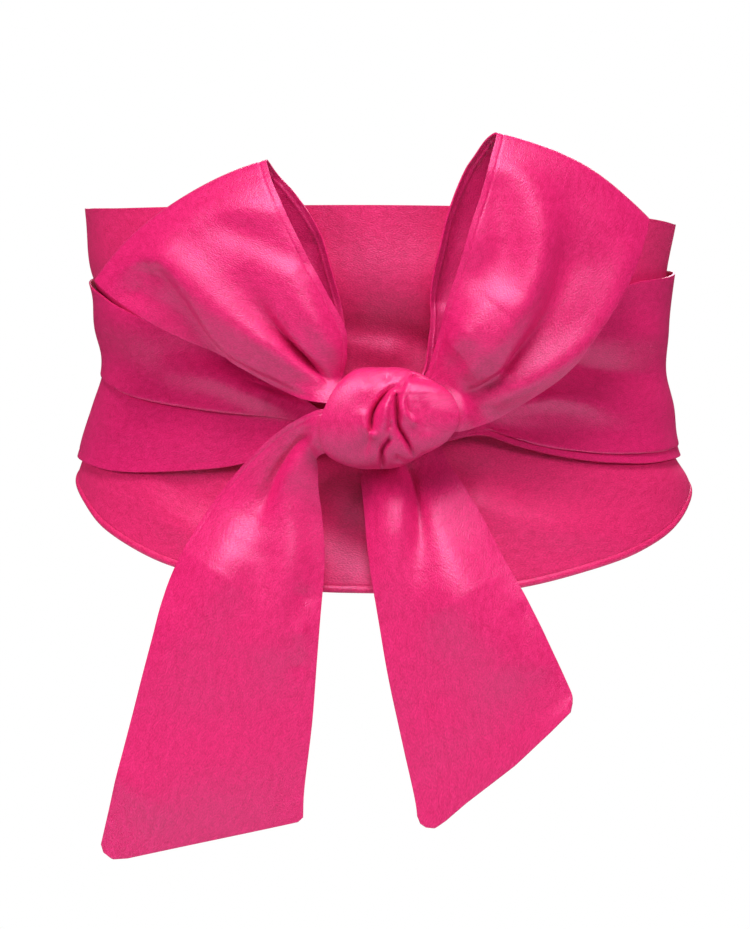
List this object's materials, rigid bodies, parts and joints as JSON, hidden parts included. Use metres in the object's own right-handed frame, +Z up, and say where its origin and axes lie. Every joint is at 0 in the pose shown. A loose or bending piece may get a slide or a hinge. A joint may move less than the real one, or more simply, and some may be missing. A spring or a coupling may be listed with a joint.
{
  "type": "satin waist sash",
  "caption": "Wide satin sash worn round the waist: a curved panel held by long ties that cross at the back and are tied in front in a bow with standing loops and hanging tails.",
  "frame": {"origin": "middle of the waist at its narrowest level, where the wearer holds the sash", "axes": "+Z up along the wearer's body, the front of the sash towards -Y, +X to the right in a front view"},
  "size_m": [0.274, 0.2249, 0.3068],
  "materials": {
    "satin": "satin"
  },
  "bodies": {
    "root": {"waist_panel": "satin", "wrap_left": "satin", "wrap_right": "satin", "loop_left": "satin", "loop_right": "satin", "knot": "satin", "tail_left": "satin", "tail_right": "satin"}
  },
  "joints": []
}
